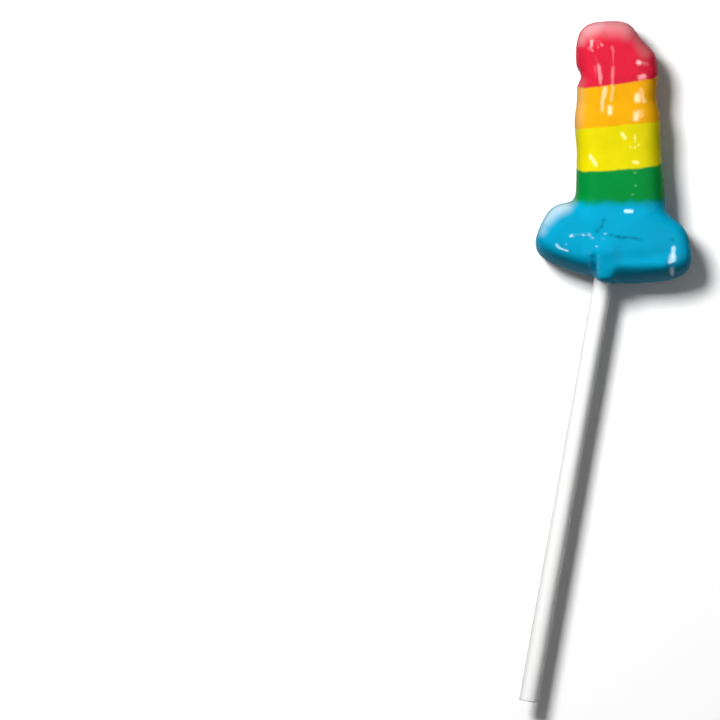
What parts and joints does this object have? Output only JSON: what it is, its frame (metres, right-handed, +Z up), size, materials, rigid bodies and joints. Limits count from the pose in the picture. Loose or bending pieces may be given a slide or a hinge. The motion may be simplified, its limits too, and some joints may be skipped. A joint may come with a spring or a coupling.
{
  "type": "gummy lollipop",
  "caption": "Adult novelty gummy lollipop of phallic outline, in rainbow-coloured bands on a straight white stick. It lies on its flattened back. Not for children's scenes.",
  "frame": {"origin": "bottom centre of the whole part's bounding box, on the surface that it lies on", "axes": "+Y along the stick, from its free end to the gummy; +Z up, out of the gummy's front; +X to the gummy's right as seen from the front"},
  "size_m": [0.0434, 0.1904, 0.0251],
  "materials": {
    "red_gummy": "glossy soft gummy, red",
    "orange_gummy": "glossy soft gummy, orange",
    "yellow_gummy": "glossy soft gummy, yellow",
    "green_gummy": "glossy soft gummy, green",
    "blue_gummy": "glossy soft gummy, blue",
    "stick": "smooth white rolled paper"
  },
  "bodies": {
    "root": {"cap_red": "red_gummy", "band_orange": "orange_gummy", "band_yellow": "yellow_gummy", "band_green": "green_gummy", "base_blue": "blue_gummy", "stick": "stick"}
  },
  "joints": []
}
